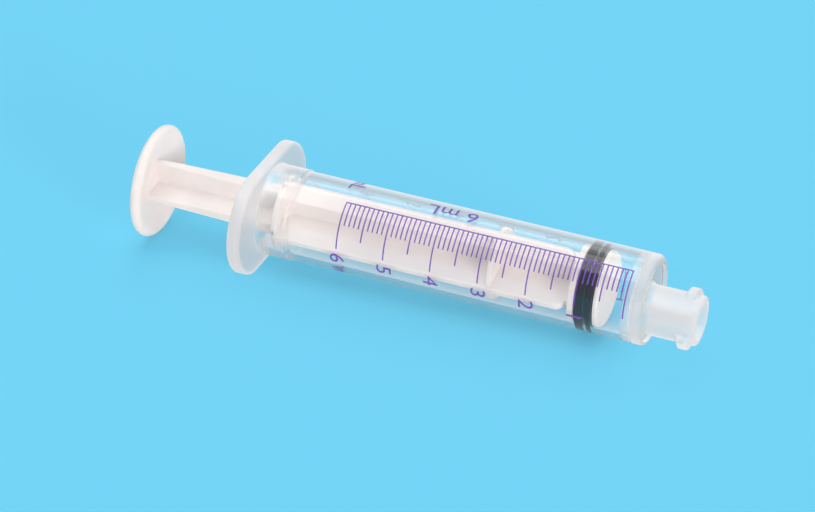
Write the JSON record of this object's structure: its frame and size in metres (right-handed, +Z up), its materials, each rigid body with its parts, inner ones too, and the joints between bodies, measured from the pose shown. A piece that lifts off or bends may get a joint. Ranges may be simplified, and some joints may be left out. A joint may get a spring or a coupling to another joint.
{
  "type": "oral syringe",
  "caption": "Oral syringe with a clear graduated barrel, oval finger flange, off-centre lugged nozzle and a white cross-section plunger with a black seal.",
  "frame": {"origin": "middle of the bottom of the box round the syringe as it lies on its side with the plunger where the picture shows it", "axes": "+X along the barrel's axis towards the nozzle, +Z up through the flange's upper flat, +Y towards the flange end that is away from the nozzle's offset"},
  "size_m": [0.0938, 0.0272, 0.0185],
  "materials": {
    "clear_plastic": "translucent, glossy",
    "white_plastic": "satin moulded",
    "black_rubber": "smooth, slightly wet",
    "purple_ink": "printed"
  },
  "bodies": {
    "barrel": {"barrel": "clear_plastic"},
    "seal": {"seal_ring": "black_rubber"},
    "plunger": {"plunger": "white_plastic"}
  },
  "joints": [
    {"name": "plunger_slide", "type": "slide", "parent": "barrel", "child": "seal", "axis": [1, 0, 0], "range_m": [-0.0473, 0.00523]},
    {"name": "plunger_twist", "type": "hinge", "parent": "seal", "child": "plunger", "pos_m": [0.02895, 0, 0.00925], "axis": [1, 0, 0], "continuous": true}
  ]
}
